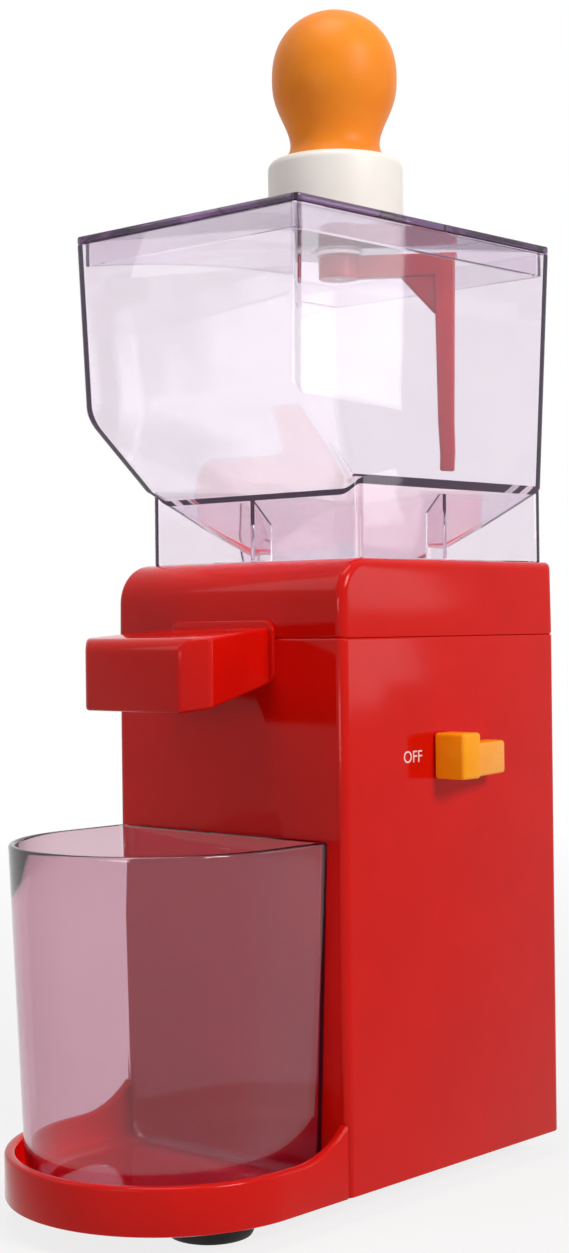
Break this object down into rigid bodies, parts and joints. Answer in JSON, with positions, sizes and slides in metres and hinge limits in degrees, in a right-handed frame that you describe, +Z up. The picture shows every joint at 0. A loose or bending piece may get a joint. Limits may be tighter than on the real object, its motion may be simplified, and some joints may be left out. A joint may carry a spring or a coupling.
{
  "type": "nut butter grinder",
  "caption": "Electric nut butter grinder: column with motor, burrs and spout over a clear cup, clear funnel hopper, slide switch, and a lid with a hand knob that turns a stirring paddle.",
  "frame": {"origin": "on the floor, under the grinding and stirring axis", "axes": "+Z up along the grinding axis, -Y out of the spout over the cup, +X towards the side with the switch"},
  "size_m": [0.1155, 0.195, 0.3987],
  "materials": {
    "red_plastic": "glossy",
    "clear_plastic": "clear, slightly violet",
    "orange_plastic": "satin",
    "white_plastic": "satin",
    "yellow_plastic": "satin",
    "paddle_plastic": "satin",
    "rubber": "matte",
    "black_plastic": "matte",
    "screw_steel": "zinc plated",
    "ground_steel": "ground",
    "core_steel": "laminated",
    "cast_metal": "as cast",
    "bronze": "sintered",
    "brass": "bright",
    "copper": "enamelled or bright copper",
    "carbon": "matte"
  },
  "bodies": {
    "housing": {"column_shell": "red_plastic", "top_cover": "red_plastic", "base_tray": "red_plastic", "spout": "red_plastic", "front_feet": "rubber", "rear_feet": "rubber", "foot_screws": "screw_steel", "base_screws": "screw_steel", "cover_screws": "screw_steel", "drive_screws": "screw_steel", "spout_screws": "screw_steel", "cord_gland": "black_plastic", "gland_nut": "black_plastic", "slide_switch": "black_plastic", "switch_screws": "screw_steel", "rubber_mounts": "rubber", "gearbox_case": "cast_metal", "gearbox_cover": "cast_metal", "gearbox_screws": "screw_steel", "chamber_screws": "screw_steel", "grind_chamber": "cast_metal", "chamber_cap": "cast_metal", "cap_screws": "screw_steel", "fixed_burr": "ground_steel", "lower_shaft_bush": "bronze", "upper_shaft_bush": "bronze", "shaft_seal": "rubber", "stator_core": "core_steel", "field_coils": "copper", "motor_bracket": "cast_metal", "spacer_sleeves": "screw_steel", "motor_bolts": "screw_steel", "brush_holders": "brass", "carbon_brushes": "carbon", "upper_motor_bush": "bronze", "lower_motor_bush": "bronze", "idler_pin": "ground_steel"},
    "switch_slider": {"switch_slider": "yellow_plastic"},
    "motor_rotor": {"motor_shaft": "ground_steel", "armature_core": "core_steel", "armature_windings": "copper", "commutator": "copper", "cooling_fan": "black_plastic", "motor_pinion": "ground_steel"},
    "idler": {"idler_gear": "ground_steel"},
    "grinder": {"main_shaft": "ground_steel", "output_gear": "ground_steel", "rotor_burr": "ground_steel", "feed_auger": "ground_steel", "discharge_wiper": "ground_steel", "burr_nut": "screw_steel"},
    "hopper": {"hopper": "clear_plastic"},
    "lid": {"hopper_lid": "clear_plastic", "lid_bushing": "white_plastic"},
    "stirrer": {"stir_hub": "white_plastic", "stir_knob": "orange_plastic", "stir_shaft": "ground_steel", "stir_paddle": "paddle_plastic", "paddle_screw": "screw_steel"},
    "cup": {"cup": "clear_plastic"}
  },
  "joints": [
    {"name": "switch_slide", "type": "slide", "parent": "housing", "child": "switch_slider", "axis": [0, 1, 0], "range_m": [0, 0.007]},
    {"name": "motor_spin", "type": "hinge", "parent": "housing", "child": "motor_rotor", "pos_m": [0, 0, 0], "axis": [0, 0, 1], "continuous": true},
    {"name": "idler_spin", "type": "hinge", "parent": "housing", "child": "idler", "pos_m": [0, 0.02275, 0], "axis": [0, 0, 1], "continuous": true},
    {"name": "grinder_spin", "type": "hinge", "parent": "housing", "child": "grinder", "pos_m": [0, 0, 0], "axis": [0, 0, 1], "continuous": true},
    {"name": "hopper_lift", "type": "slide", "parent": "housing", "child": "hopper", "axis": [0, 0, 1], "range_m": [0, 0.05]},
    {"name": "lid_lift", "type": "slide", "parent": "hopper", "child": "lid", "axis": [0, 0, 1], "range_m": [0, 0.12]},
    {"name": "stir_turn", "type": "hinge", "parent": "lid", "child": "stirrer", "pos_m": [0, 0, 0], "axis": [0, 0, 1], "continuous": true},
    {"name": "cup_lift", "type": "slide", "parent": "housing", "child": "cup", "axis": [0, 0, 1], "range_m": [0, 0.03]}
  ],
  "couplings": [
    {"joint": "idler_spin", "follows": "motor_spin", "ratio": -0.22642},
    {"joint": "grinder_spin", "follows": "motor_spin", "ratio": 0.056604}
  ]
}
